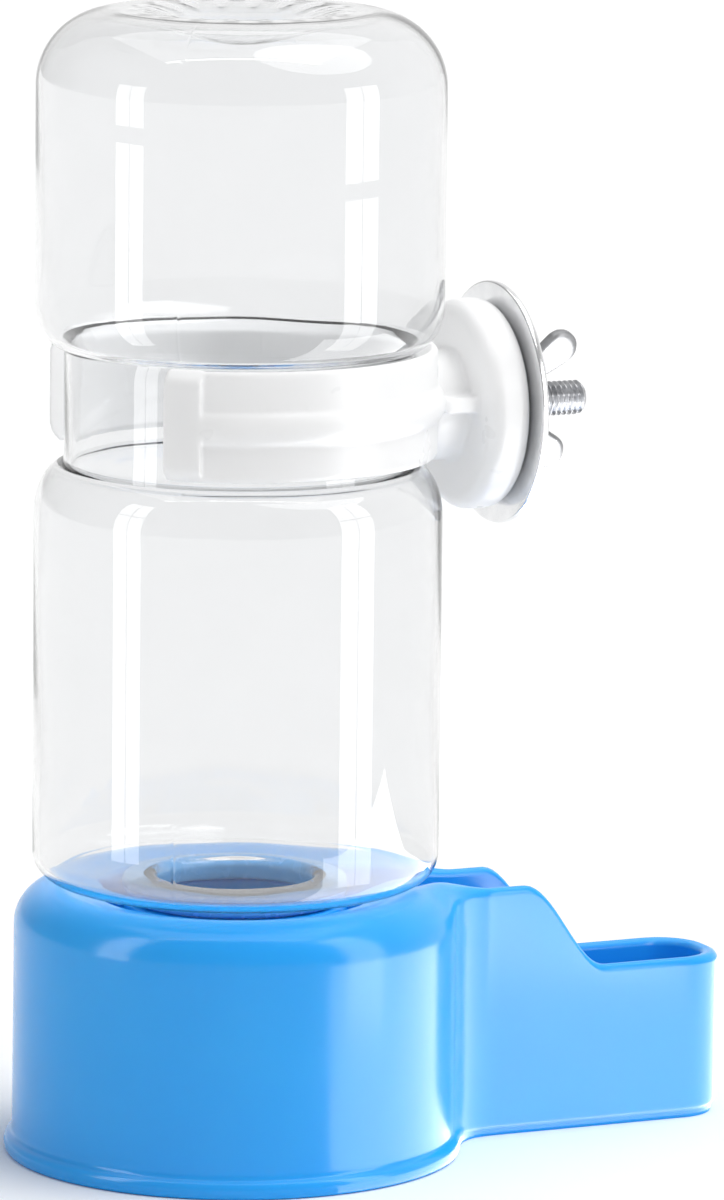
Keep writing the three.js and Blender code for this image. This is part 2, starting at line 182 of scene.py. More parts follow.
# The window panels: each is a pair of upright panes with a thin bar between them and a bar across. A row
# gives the window's name, its place round the bottle, a pane's width, the foot's and the cross bar's height.
PANE_BAR = 1.6
PANE_TOP = 228
PANE_GLOW = 4.0
PANEL_AWAY = 165
WINDOWS = [("left", -58.5, 23, 27, 162), ("right", 64.5, 29, 1, 152)]
for window, around, pane_width, foot, bar_height in WINDOWS:
    for leaf, lean in (("outer", 1), ("inner", -1)):
        swing = math.degrees((pane_width + PANE_BAR) / 2 / PANEL_AWAY) * lean
        for storey, low, high in (("lower", foot, bar_height),
                                  ("upper", bar_height + 2 * PANE_BAR, PANE_TOP)):
            middle = (low + high) / 2
            pane = studio_panel(f"{window}_{leaf}_{storey}_pane", around + swing, PANEL_AWAY, middle,
                                pane_width, high - low, PANE_GLOW, middle)
            pane.visible_diffuse = False
            pane.visible_transmission = False

sun = bpy.data.objects.new("skylight", bpy.data.lights.new("skylight", "SUN"))
bpy.context.scene.collection.objects.link(sun)
sun.data.energy = 1.9
sun.data.angle = math.radians(50)
sun.visible_glossy = False
sun.rotation_euler = (-to_right * 0.55 + to_back * 0.12 - up).to_track_quat("-Z", "Y").to_euler()

# The white table in front and to the right, which shines in the trough and the drum's right side.
TABLE_GLOW_LENGTH = 310
TABLE_GLOW_WIDTH = 260
glow_along = (to_right * 0.776 - to_back * 0.631).normalized()
glow_across = (to_right * 0.631 + to_back * 0.776).normalized()
table_glow = studio_panel("table_glow", 0, 0, 0.4, TABLE_GLOW_LENGTH, TABLE_GLOW_WIDTH, 4.1, 0)
table_glow.location += (to_right * 193 - to_back * 10) * MM
table_glow.rotation_euler = Matrix((glow_along, glow_across, up)).transposed().to_euler()
table_glow.rotation_euler.rotate_axis("X", math.pi)
table_glow.visible_diffuse = False
table_glow.visible_transmission = False

# The overhead softbox, with a brighter tube along its front edge; both show only as reflections. A row
# gives the lamp's name, how far behind the bottle its middle hangs, its depth and its glow.
SOFTBOX_Z = 820
SOFTBOX_WIDTH = 900
for box_name, reach, box_depth, box_glow in (("softbox", 140, 720, 1.25), ("softbox_tube", -262, 44, 5.0)):
    softbox = studio_panel(box_name, 0, 0, SOFTBOX_Z, SOFTBOX_WIDTH, box_depth, box_glow, 0)
    softbox.location += to_back * reach * MM
    softbox.rotation_euler = Matrix((to_right, to_back, up)).transposed().to_euler()
    softbox.visible_diffuse = False
    softbox.visible_transmission = False


# ---- Drinking base ----
# One injection moulding in glossy blue polypropylene: a round drum with a rolled foot and a wide opening,
# and a trough that leaves it through two fillets. The bottle's socket stands on its floor.

DRUM_R = 38.1
CREST_Z = 46.5
SHOULDER_R = 7.3
OPENING_R = 23.5
OPENING_Z = 45.2
FLOOR_Z = 3.5
TROUGH_HALF = 9.95
TROUGH_END = 91.5
TROUGH_CORNER = 8.5
TROUGH_FILLET = 13.0
CHANNEL_HALF = 7.1
CHANNEL_END = TROUGH_END - (TROUGH_HALF - CHANNEL_HALF)
CHANNEL_CORNER = CHANNEL_HALF - 1.0
CHANNEL_MOUTH_R = 12.0
CHANNEL_RIM_Z = 44.0
CUP_RIM_Z = 28.8
DROP_START = 51.0
DROP_END = 67.0
LIP_R = 1.1


def ease(value):
    value = min(1.0, max(0.0, value))
    return value * value * (3 - 2 * value)


def mix(a, b, share):
    return a + (b - a) * share


def arc(centre_r, centre_z, radius_r, radius_z, start, end, steps):
    """Points of an elliptical arc, angles in degrees."""
    points = []
    for i in range(steps + 1):
        angle = math.radians(mix(start, end, i / steps))
        points.append((centre_r + radius_r * math.cos(angle), centre_z + radius_z * math.sin(angle)))
    return points


def make_piece(name, points, faces, material, crease=35):
    """A named object from points in millimetres, measured from the bottle's axis on the table."""
    mesh = bpy.data.meshes.new(name)
    mesh.from_pydata([(AXIS.x + x * MM, AXIS.y + y * MM, z * MM) for x, y, z in points], [], faces)
    piece = bpy.data.objects.new(name, mesh)
    bpy.context.scene.collection.objects.link(piece)
    mesh.materials.append(material)
    smooth_skin(piece, crease)
    return piece


def smooth_skin(piece, crease):
    """Faces outward and smooth, with an edge sharp only where the skin turns by more than crease degrees."""
    edit = bmesh.new()
    edit.from_mesh(piece.data)
    bmesh.ops.remove_doubles(edit, verts=edit.verts, dist=1e-7)
    bmesh.ops.recalc_face_normals(edit, faces=edit.faces)
    for face in edit.faces:
        face.smooth = True
    for edge in edit.edges:
        edge.smooth = len(edge.link_faces) == 2 and edge.calc_face_angle(0) < math.radians(crease)
    edit.to_mesh(piece.data)
    edit.free()


def apply_modifiers(piece):
    """Leaves the piece with the mesh that its modifiers make."""
    view = bpy.context.evaluated_depsgraph_get()
    shaped = bpy.data.meshes.new_from_object(piece.evaluated_get(view))
    piece.modifiers.clear()
    piece.data = shaped


def cut(piece, tool):
    """Takes the tool's solid out of the piece, and removes the tool."""
    step = piece.modifiers.new("cut", "BOOLEAN")
    step.operation = "DIFFERENCE"
    step.solver = "EXACT"
    step.object = tool
    apply_modifiers(piece)
    bpy.data.objects.remove(tool)


def wrapped_rows(steps, count):
    """Faces between steps + 1 closed rows of count points each."""
    return [(i * count + k, (i + 1) * count + k, (i + 1) * count + (k + 1) % count, i * count + (k + 1) % count)
            for i in range(steps) for k in range(count)]


def base_stations():
    """Pairs of plan points, outer and inner wall, with each pair's place in the outline, on the +Y side."""
    fillet_x = math.sqrt((DRUM_R + TROUGH_FILLET) ** 2 - (TROUGH_HALF + TROUGH_FILLET) ** 2)
    fillet_y = TROUGH_HALF + TROUGH_FILLET
    touch = math.atan2(fillet_y, fillet_x)
    mouth_x = math.sqrt((OPENING_R + CHANNEL_MOUTH_R) ** 2 - (CHANNEL_HALF + CHANNEL_MOUTH_R) ** 2)
    mouth_y = CHANNEL_HALF + CHANNEL_MOUTH_R
    mouth_touch = math.atan2(mouth_y, mouth_x)
    stations = []
    drum_steps, mouth_steps, fillet_steps, straight_steps, corner_steps = 64, 8, 16, 40, 16
    for i in range(drum_steps + 1):
        angle = mix(math.pi, touch, i / drum_steps)
        outer = (DRUM_R * math.cos(angle), DRUM_R * math.sin(angle))
        if i <= drum_steps - mouth_steps:
            inner_angle = mix(math.pi, mouth_touch, i / (drum_steps - mouth_steps))
            inner = (OPENING_R * math.cos(inner_angle), OPENING_R * math.sin(inner_angle))
        else:
            share = (i - drum_steps + mouth_steps) / mouth_steps
            inner_angle = mix(math.pi + mouth_touch, 1.5 * math.pi, share)
            inner = (mouth_x + CHANNEL_MOUTH_R * math.cos(inner_angle),
                     mouth_y + CHANNEL_MOUTH_R * math.sin(inner_angle))
        stations.append((outer, inner, 0.0))
    for i in range(1, fillet_steps + 1):
        share = i / fillet_steps
        angle = mix(math.pi + touch, 1.5 * math.pi, share)
        outer = (fillet_x + TROUGH_FILLET * math.cos(angle), fillet_y + TROUGH_FILLET * math.sin(angle))
        inner = (mix(mouth_x, fillet_x, share), CHANNEL_HALF)
        stations.append((outer, inner, share))
    for i in range(1, straight_steps + 1):
        share = i / straight_steps
        stations.append(((mix(fillet_x, TROUGH_END - TROUGH_CORNER, share), TROUGH_HALF),
                         (mix(fillet_x, CHANNEL_END - CHANNEL_CORNER, share), CHANNEL_HALF), 1.0))
    for i in range(1, corner_steps + 1):
        angle = mix(math.pi / 2, 0, i / corner_steps)
        stations.append((
            (TROUGH_END - TROUGH_CORNER + TROUGH_CORNER * math.cos(angle),
             TROUGH_HALF - TROUGH_CORNER + TROUGH_CORNER * math.sin(angle)),
            (CHANNEL_END - CHANNEL_CORNER + CHANNEL_CORNER * math.cos(angle),
             CHANNEL_HALF - CHANNEL_CORNER + CHANNEL_CORNER * math.sin(angle)), 1.0))
    return stations


# The wall's foot, as (distance outside the wall, height): rolled out under the drum, drawn in under the
# trough.
DRUM_FOOT = [(0.8, 0.0), (1.2, 0.15), (1.48, 0.6), (1.6, 1.3), (1.55, 2.0), (1.3, 2.6), (0.95, 2.92),
             (0.6, 3.08), (0.34, 3.35), (0.2, 3.9), (0.18, 5.0)]
TROUGH_FOOT = [(-0.85, 0.0), (-0.8, 0.1), (-0.76, 0.5), (-0.76, 1.0), (-0.7, 1.3), (-0.5, 1.55), (-0.25, 1.75),
               (-0.08, 2.0), (0.0, 2.4), (0.0, 3.4), (0.0, 5.0)]


def base_profile(outer, inner, along):
    """The points of one station, from the foot's outer edge over the rim to the inner floor."""
    width = math.dist(outer, inner)
    inward = ((inner[0] - outer[0]) / width, (inner[1] - outer[1]) / width)
    drop = 0.5 - 0.5 * math.cos(math.pi * min(1, max(0, (outer[0] - DROP_START) / (DROP_END - DROP_START))))
    settle = ease(along)
    crest = mix(mix(CREST_Z, CHANNEL_RIM_Z, settle), CUP_RIM_Z, drop)
    edge = mix(mix(OPENING_Z, CHANNEL_RIM_Z - 0.1, settle), CUP_RIM_Z - 0.1, drop)
    shoulder = min(SHOULDER_R, 0.47 * width)
    foot_share = ease(along * 1.25)
    profile = [(mix(a[0], b[0], foot_share), mix(a[1], b[1], foot_share))
               for a, b in zip(DRUM_FOOT, TROUGH_FOOT)]
    wall_steps = 9
    for i in range(1, wall_steps):
        share = i / wall_steps
        profile.append((mix(profile[len(DRUM_FOOT) - 1][0], 0, share), mix(5.0, crest - shoulder, share)))
    for r, z in arc(-shoulder, crest - shoulder, shoulder, shoulder, 0, 90, 14):
        profile.append((r, z))
    ledge_end = -(width - LIP_R)
    ledge_steps = 6
    for i in range(1, ledge_steps):
        share = i / ledge_steps
        profile.append((mix(-shoulder, ledge_end, share), mix(crest, edge, ease(share))))
    for r, z in arc(ledge_end, edge - LIP_R, -LIP_R, LIP_R, 90, 0, 6):
        profile.append((r, z))
    for i in range(1, wall_steps):
        profile.append((-width, mix(edge - LIP_R, FLOOR_Z + 1.5, i / wall_steps)))
    for r, z in arc(-width - 1.5, FLOOR_Z + 1.5, 1.5, 1.5, 0, -90, 5):
        profile.append((r, z))
    return [(outer[0] - inward[0] * r, outer[1] - inward[1] * r, z) for r, z in profile]


half = [base_profile(*station) for station in base_stations()]
mirrored = [[(x, -y, z) for x, y, z in points] for points in half[-1:0:-1]]
rows = half + mirrored
# The first station lies on the axis of symmetry, so its mirror image is itself.
base_points = [point for row in rows for point in row]
row_length = len(rows[0])
base_faces = []
for i in range(len(rows)):
    j = (i + 1) % len(rows)
    for k in range(row_length - 1):
        here, there = i * row_length + k, j * row_length + k
        base_faces.append((here, there, there + 1, here + 1))
for k in (0, row_length - 1):
    for i in range(len(half) - 1):
        j = (len(rows) - i) % len(rows)
        cap = [row * row_length + k for row in (i, i + 1, len(rows) - i - 1, j)]
        cap = list(dict.fromkeys(cap))
        if len(cap) > 2:
            base_faces.append(cap)

base_blue, base_tree, base_shader = start_finish(
    "base_blue", IOR=1.45, Subsurface_Weight=0.2, Subsurface_Scale=0.003,
)
base_shader.inputs["Subsurface Radius"].default_value = (0.25, 0.6, 1.0)
shade_between(base_tree, mottle(base_tree, 28).outputs["Fac"],
              (0.014, 0.370, 0.940), (0.019, 0.400, 0.965), base_shader.inputs["Base Color"])
gloss_between(base_tree, mottle(base_tree, 90).outputs["Fac"], 0.16, 0.22, base_shader.inputs["Roughness"])
surface_grain(base_tree, mottle(base_tree, 260, 2).outputs["Fac"], 0.12, 0.05, base_shader)
base = make_piece("drinking_base", base_points, base_faces, base_blue)

# The hollow under the drum, between the basin and the outer skirt; the trough crosses it.
BASE_WALL = 2.2
hollow_profile = [(OPENING_R + BASE_WALL, -2), (DRUM_R - BASE_WALL, -2),
                  *arc(DRUM_R - SHOULDER_R, CREST_Z - SHOULDER_R, SHOULDER_R - BASE_WALL,
                       SHOULDER_R - BASE_WALL, 0, 90, 8),
                  (OPENING_R + BASE_WALL, OPENING_Z - BASE_WALL - 0.8)]
hollow_steps = 72
hollow_points = []
for i in range(hollow_steps + 1):
    for r, z in hollow_profile:
        start = math.asin((TROUGH_HALF + BASE_WALL / 2) / r)
        angle = mix(start, 2 * math.pi - start, i / hollow_steps)
        hollow_points.append((r * math.cos(angle), r * math.sin(angle), z))
count = len(hollow_profile)
hollow_faces = wrapped_rows(hollow_steps, count)
hollow_faces += [tuple(range(count)), tuple(hollow_steps * count + k for k in range(count))]
cut(base, make_piece("hollow", hollow_points, hollow_faces, base_blue))

# The shallow recess under the floor, which keeps the floor as thin as the walls.
UNDERSIDE_Z = 1.5
recess_outline = [inner for outer, inner, along in base_stations()]
recess_outline += [(x, -y) for x, y in recess_outline[-1:0:-1]]
recess_points = [(x, y, z) for z in (-2, UNDERSIDE_Z) for x, y in recess_outline]
count = len(recess_outline)
recess_faces = [(i, (i + 1) % count, count + (i + 1) % count, count + i) for i in range(count)]
recess_faces += [tuple(range(count)), tuple(range(count, 2 * count))]
cut(base, make_piece("recess", recess_points, recess_faces, base_blue))
smooth_skin(base, 35)
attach(base, "drinking_base")
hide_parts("base")


# ---- Bottle socket ----
# A blue collar on four legs that stands on the base's floor. The bottle's neck screws into it, and water
# runs from the mouth between the legs. The drum hides it, so its form is the plainest that works.

THREAD_PITCH = 4.5
THREAD_TURNS = 1.25
THREAD_RIDGE = 1.4
THREAD_START_Z = 29.5
SOCKET_BORE_R = 16.9
SOCKET_R = 19.3
SOCKET_FOOT_R = 21.3
SOCKET_BOTTOM_Z = 3.8
SOCKET_FOOT_Z = 6.2
SOCKET_WINDOW_Z = 26.0
SOCKET_TOP_Z = 44.0


def round_angles(segments):
    return [2 * math.pi * i / segments for i in range(segments)]


def turned(profile, angles, closed=False):
    """Points and faces of a profile turned about Z, from [radius, height] pairs."""
    points, rings, faces = [], [], []
    for r, z in profile:
        if r < 1e-6:
            rings.append([len(points)] * len(angles))
            points.append((0.0, 0.0, z))
        else:
            rings.append(list(range(len(points), len(points) + len(angles))))
            points += [(r * math.cos(angle), r * math.sin(angle), z) for angle in angles]
    for i in range(len(rings) if closed else len(rings) - 1):
        lower, upper = rings[i], rings[(i + 1) % len(rings)]
        for j in range(len(angles)):
            k = (j + 1) % len(angles)
            face = list(dict.fromkeys((lower[j], lower[k], upper[k], upper[j])))
            if len(face) > 2:
                faces.append(face)
    return points, faces


def turned_sector(profile, start, end, steps):
    """The same through part of a turn, angles in degrees, with flat ends. The profile is a closed loop."""
    points, faces = [], []
    count = len(profile)
    for i in range(steps + 1):
        angle = math.radians(mix(start, end, i / steps))
        points += [(r * math.cos(angle), r * math.sin(angle), z) for r, z in profile]
    for i in range(steps):
        for k in range(count):
            n = (k + 1) % count
            faces.append((i * count + k, (i + 1) * count + k, (i + 1) * count + n, i * count + n))
    faces += [tuple(range(count)), tuple(steps * count + k for k in range(count))]
    return points, faces


def swept_ridge(radius, sink, start_z):
    """A round-backed thread ridge that sinks into its wall at both ends."""
    points, faces = [], []
    steps, sides = 90, 12
    for i in range(steps + 1):
        share = i / steps
        angle = 2 * math.pi * THREAD_TURNS * share
        fade = max(0.0, 1 - min(share, 1 - share) / 0.08)
        centre_r = radius + sink * fade
        centre_z = start_z + THREAD_PITCH * THREAD_TURNS * share
        for k in range(sides):
            around = 2 * math.pi * k / sides
            r = centre_r + THREAD_RIDGE * math.cos(around)
            z = centre_z + THREAD_RIDGE * math.sin(around)
            points.append((r * math.cos(angle), r * math.sin(angle), z))
    for i in range(steps):
        for k in range(sides):
            n = (k + 1) % sides
            faces.append((i * sides + k, (i + 1) * sides + k, (i + 1) * sides + n, i * sides + n))
    faces += [tuple(range(sides)), tuple(steps * sides + k for k in range(sides))]
    return points, faces


def moulded(name, shells, voxel, passes, material):
    """Closed shells that overlap, melted into one solid with soft edges, as a mould leaves them."""
    points, faces = [], []
    for shell_points, shell_faces in shells:
        start = len(points)
        points += shell_points
        faces += [[start + k for k in face] for face in shell_faces]
    piece = make_piece(name, points, faces, material, 180)
    melt = piece.modifiers.new("melt", "REMESH")
    melt.mode = "VOXEL"
    melt.voxel_size = voxel * MM
    soften = piece.modifiers.new("soften", "SMOOTH")
    soften.factor = 0.5
    soften.iterations = passes
    apply_modifiers(piece)
    piece.data.materials.clear()
    piece.data.materials.append(material)
    smooth_skin(piece, 75)
    return piece


collar = turned([(SOCKET_BORE_R, SOCKET_WINDOW_Z), (SOCKET_R, SOCKET_WINDOW_Z), (SOCKET_R, SOCKET_TOP_Z),
                 (SOCKET_BORE_R, SOCKET_TOP_Z)], round_angles(96), True)
foot_ring = turned([(SOCKET_BORE_R, SOCKET_BOTTOM_Z), (SOCKET_FOOT_R, SOCKET_BOTTOM_Z),
                    (SOCKET_FOOT_R, SOCKET_FOOT_Z), (SOCKET_BORE_R, SOCKET_FOOT_Z)], round_angles(96), True)
leg_half = math.degrees(3 / SOCKET_R)
leg_loop = [(SOCKET_BORE_R, SOCKET_BOTTOM_Z + 1), (SOCKET_R, SOCKET_BOTTOM_Z + 1),
            (SOCKET_R, SOCKET_WINDOW_Z + 1), (SOCKET_BORE_R, SOCKET_WINDOW_Z + 1)]
legs = [turned_sector(leg_loop, middle - leg_half, middle + leg_half, 6) for middle in (45, 135, 225, 315)]
socket_ridge = swept_ridge(SOCKET_BORE_R + 0.2, THREAD_RIDGE * 0.7, THREAD_START_Z - THREAD_PITCH / 2)
socket = moulded("bottle_socket", [collar, foot_ring, *legs, socket_ridge], 0.35, 3, base_blue)
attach(socket, "drinking_base")
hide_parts("bottle_socket")


# ---- Neck seal ----
# A soft silicone ring round the neck. It lies on the socket's top and the bottle's shoulder presses on it.

SHOULDER_Z = 47.6
NECK_R = 15.0
seal_bottom, seal_top = SOCKET_TOP_Z + 0.3, SHOULDER_Z - 0.3
seal_profile = [
    *arc(NECK_R + 0.9, seal_bottom + 0.6, 0.6, 0.6, 180, 270, 4),
    *arc(SOCKET_R - 0.6, seal_bottom + 0.6, 0.6, 0.6, 270, 360, 4),
    *arc(SOCKET_R - 0.6, seal_top - 0.6, 0.6, 0.6, 0, 90, 4),
    *arc(NECK_R + 0.9, seal_top - 0.6, 0.6, 0.6, 90, 180, 4),
]
silicone, silicone_tree, silicone_shader = start_finish("silicone", IOR=1.41, Transmission_Weight=0.1)
shade_between(silicone_tree, mottle(silicone_tree, 150).outputs["Fac"],
              (0.12, 0.47, 0.95), (0.18, 0.53, 0.97), silicone_shader.inputs["Base Color"])
gloss_between(silicone_tree, mottle(silicone_tree, 400).outputs["Fac"],
              0.2, 0.3, silicone_shader.inputs["Roughness"])
seal = make_piece("neck_seal_ring", *turned(seal_profile, round_angles(120), True), silicone)
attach(seal, "seal_ring")
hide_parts("neck_seal")


# ---- Bottle ----
# A blow-moulded clear PET bottle, upside down: threaded neck, two round lobes and a waist for the clip, and
# its own dished bottom on top. The mould leaves two fine parting lines and a slightly uneven inner wall.

BOTTLE_R = 35.0
BOTTLE_WALL = 1.1
NECK_BORE_R = 13.2
MOUTH_Z = 24.0
WAIST_R = 29.9
WAIST_BOTTOM_Z = 120.0
WAIST_TOP_Z = 140.0
BOTTLE_TOP_Z = 197.6
TOP_CORNER_R = 13.0
PUNT_R = 19.5
PUNT_DEPTH = 4.0
PARTING_ANGLE = math.radians(-130.8)
PARTING_HEIGHT = 0.045
NUBS = 18
NUB_CIRCLE_R = 15.6
NUB_HEIGHT = 0.35


def body_outline(inset):
    """The bottle's body drawn in by the inset, from the neck's shoulder to the top of the axis."""
    flare = BOTTLE_R - WAIST_R + 0.1
    corner = 5 - inset
    outline = arc(BOTTLE_R - 5, SHOULDER_Z + 5, corner, corner, -90, 0, 12)
    low, high = SHOULDER_Z + 5, WAIST_BOTTOM_Z - 9
    outline += [(BOTTLE_R - inset, mix(low, high, i / 14)) for i in range(1, 14)]
    outline += arc(WAIST_R - 0.1, WAIST_BOTTOM_Z - 9, flare - inset, 9 - inset, 0, 78, 14)
    outline += [(WAIST_R - inset + 0.25, WAIST_BOTTOM_Z - 0.35),
                (WAIST_R - inset + 0.05, WAIST_BOTTOM_Z + 0.6)]
    outline += [(WAIST_R - inset, mix(WAIST_BOTTOM_Z + 1.6, WAIST_TOP_Z - 1.6, i / 5)) for i in range(6)]
    outline += [(WAIST_R - inset + 0.05, WAIST_TOP_Z - 0.6), (WAIST_R - inset + 0.25, WAIST_TOP_Z + 0.35)]
    outline += arc(WAIST_R - 0.1, WAIST_TOP_Z + 8, flare - inset, 8 - inset, -78, 0, 14)
    low, high = WAIST_TOP_Z + 8, BOTTLE_TOP_Z - TOP_CORNER_R
    outline += [(BOTTLE_R - inset, mix(low, high, i / 10)) for i in range(1, 10)]
    top = TOP_CORNER_R - inset
    outline += arc(BOTTLE_R - TOP_CORNER_R, BOTTLE_TOP_Z - TOP_CORNER_R, top, top, 0, 90, 18)
    for i in range(13):
        share = i / 12
        dip = 0.5 - 0.5 * math.cos(math.pi * share)
        outline.append((PUNT_R * (1 - share), BOTTLE_TOP_Z - inset - PUNT_DEPTH * dip))
    return outline


neck_rise = [(NECK_R, mix(MOUTH_Z + 0.6, SHOULDER_Z - 1.0, i / 90)) for i in range(91)]
neck_root = arc(NECK_R + 1.0, SHOULDER_Z - 1.0, -1.0, 1.0, 0, 90, 4)[1:]
outside = [(NECK_R - 0.6, MOUTH_Z), (NECK_R - 0.18, MOUTH_Z + 0.18),
           *neck_rise, *neck_root, *body_outline(0)]
bore_root = arc(NECK_BORE_R + 1.6, SHOULDER_Z + BOTTLE_WALL - 1.6, -1.6, 1.6, 0, 90, 5)
inside = [(NECK_BORE_R + 0.4, MOUTH_Z), (NECK_BORE_R, MOUTH_Z + 0.4)]
inside += [(NECK_BORE_R, mix(MOUTH_Z + 2, SHOULDER_Z + BOTTLE_WALL - 1.8, i / 8)) for i in range(9)]
inside += [*bore_root, *body_outline(BOTTLE_WALL)]

bottle_angles = round_angles(168)
for line in (PARTING_ANGLE, PARTING_ANGLE + math.pi):
    line %= 2 * math.pi
    bottle_angles = [angle for angle in bottle_angles if abs(angle - line) > math.radians(1.4)]
    bottle_angles += [line + math.radians(step) for step in (-1.0, -0.5, -0.22, 0, 0.22, 0.5, 1.0)]
bottle_angles.sort()
bottle_points, bottle_faces = turned([*outside, *reversed(inside)], bottle_angles, True)


def thread_height(angle, z):
    """How far the neck's thread stands out at this place."""
    height = 0.0
    for lap in (0, 1):
        share = (angle / (2 * math.pi) + lap) / THREAD_TURNS
        if share > 1:
            continue
        off = abs(z - THREAD_START_Z - THREAD_PITCH * THREAD_TURNS * share) / THREAD_RIDGE
        if off < 1:
            fade = ease(min(share, 1 - share) / 0.08)
            height = max(height, fade * THREAD_RIDGE * 0.95 * (1 - off * off) ** 0.8)
    return height


shaped_points = []
for index, (x, y, z) in enumerate(bottle_points):
    r = math.hypot(x, y)
    if r < 1e-6:
        shaped_points.append((x, y, z))
        continue
    angle = math.atan2(y, x) % (2 * math.pi)
    is_outside = index < len(outside) * len(bottle_angles)
    push = 0.0
    if is_outside and z < SHOULDER_Z - 1 and r > NECK_R - 0.3:
        push += thread_height(angle, z)
    if is_outside and r > PUNT_R + 1:
        for line in (PARTING_ANGLE, PARTING_ANGLE + math.pi):
            off = abs((angle - line + math.pi) % (2 * math.pi) - math.pi) * r
            push += PARTING_HEIGHT * math.exp(-(off / 0.16) ** 2)
    if not is_outside and z > SHOULDER_Z + 4:
        wave = math.sin(3 * angle + z / 19) + 0.7 * math.sin(5 * angle - z / 13 + 1.3)
        push += 0.035 * wave + 0.02 * math.sin(11 * angle + z / 7)
    nub = 0
    if is_outside and z > BOTTLE_TOP_Z - 8:
        nub = math.cos(NUBS * angle / 2) ** 8 * math.exp(-((r - NUB_CIRCLE_R) / 0.9) ** 2)
    shaped_points.append((x * (1 + push / r), y * (1 + push / r), z + NUB_HEIGHT * nub))

PET_TINT = (0.91, 0.915, 0.92)
clear_pet, pet_tree, pet_shader = start_finish("clear_pet", Transmission_Weight=1.0, IOR=1.5)
shade_between(pet_tree, mottle(pet_tree, 60).outputs["Fac"], (0.90, 0.905, 0.91), PET_TINT,
              pet_shader.inputs["Base Color"])
gloss_between(pet_tree, mottle(pet_tree, 120).outputs["Fac"], 0.0, 0.03, pet_shader.inputs["Roughness"])
surface_grain(pet_tree, mottle(pet_tree, 75, 1).outputs["Fac"], 0.1, 0.08, pet_shader)
# Light from a lamp passes the thin clear wall nearly unhindered, as it does in the real bottle.
pet_passes = pet_tree.nodes.new("ShaderNodeBsdfTransparent")
pet_passes.inputs["Color"].default_value = (0.96, 0.96, 0.96, 1)
pet_path = pet_tree.nodes.new("ShaderNodeLightPath")
pet_either = pet_tree.nodes.new("ShaderNodeMixShader")
pet_tree.links.new(pet_path.outputs["Is Shadow Ray"], pet_either.inputs["Fac"])
pet_tree.links.new(pet_shader.outputs["BSDF"], pet_either.inputs[1])
pet_tree.links.new(pet_passes.outputs["BSDF"], pet_either.inputs[2])
pet_tree.links.new(pet_either.outputs["Shader"], pet_tree.nodes["Material Output"].inputs["Surface"])
bottle = make_piece("clear_bottle", shaped_points, bottle_faces, clear_pet, 50)
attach(bottle, "water_bottle")
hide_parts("bottle")


# ---- Cage clip ----
# A white polypropylene C-ring that snaps round the bottle's waist, with a thick bar at each end, a round
# arm that holds the bolt's head, and a bun-shaped pad that bears on the cage wires. All one moulding.

RING_INNER_R = 30.4
RING_R = 33.9
RING_RIB_R = 35.2
RING_BOTTOM_Z = 121.4
RING_TOP_Z = 140.4
RING_RIB_Z = 130.7
RING_HALF_ANGLE = 134.8
LIP_ANGLE = 10.8
BOLT_Z = 128.0
ARM_R = 9.5
PLATE_HALF = 13.0
PLATE_BOTTOM_Z = 128.3
PLATE_TOP_Z = 131.0
PAD_BACK = 39.3
PAD_FACE = 47.2
PAD_R = 18.2
BOLT_R = 3.0

ring_loop = [
    (RING_INNER_R + 2.2, RING_BOTTOM_Z + 0.1), (RING_R - 0.5, RING_BOTTOM_Z), (RING_R, RING_BOTTOM_Z + 0.7),
    *[(RING_R, mix(RING_BOTTOM_Z + 1.5, RING_RIB_Z - 3.4, i / 3)) for i in range(4)],
    *arc(RING_R, RING_RIB_Z, RING_RIB_R - RING_R, 2.7, -90, 90, 12),
    *[(RING_R, mix(RING_RIB_Z + 3.4, RING_TOP_Z - 1.5, i / 3)) for i in range(4)],
    (RING_R, RING_TOP_Z - 0.7), (RING_R - 0.5, RING_TOP_Z), (RING_INNER_R + 2.4, RING_TOP_Z - 0.1),
    (RING_INNER_R, RING_TOP_Z - 2.2), (RING_INNER_R, RING_BOTTOM_Z + 1.2),
]
c_ring = turned_sector(ring_loop, -RING_HALF_ANGLE, RING_HALF_ANGLE, 130)
LIP_CORNER = 3.2
lip_loop = [
    (RING_INNER_R, RING_BOTTOM_Z + 1.2), (RING_INNER_R + 1.4, RING_BOTTOM_Z),
    *arc(RING_RIB_R - LIP_CORNER, RING_BOTTOM_Z + LIP_CORNER, LIP_CORNER, LIP_CORNER, -90, 0, 8),
    *arc(RING_RIB_R - LIP_CORNER, RING_TOP_Z - LIP_CORNER, LIP_CORNER, LIP_CORNER, 0, 90, 8),
    (RING_INNER_R + 1.6, RING_TOP_Z), (RING_INNER_R, RING_TOP_Z - 1.6),
]
lips = [turned_sector(lip_loop, end, end + LIP_ANGLE, 10)
        for end in (-RING_HALF_ANGLE, RING_HALF_ANGLE - LIP_ANGLE)]


def on_bolt(shell):
    """A shell turned about Z, laid over so that Z runs along the bolt, away from the bottle."""
    points, faces = shell
    return [(z, x, BOLT_Z + y) for x, y, z in points], faces


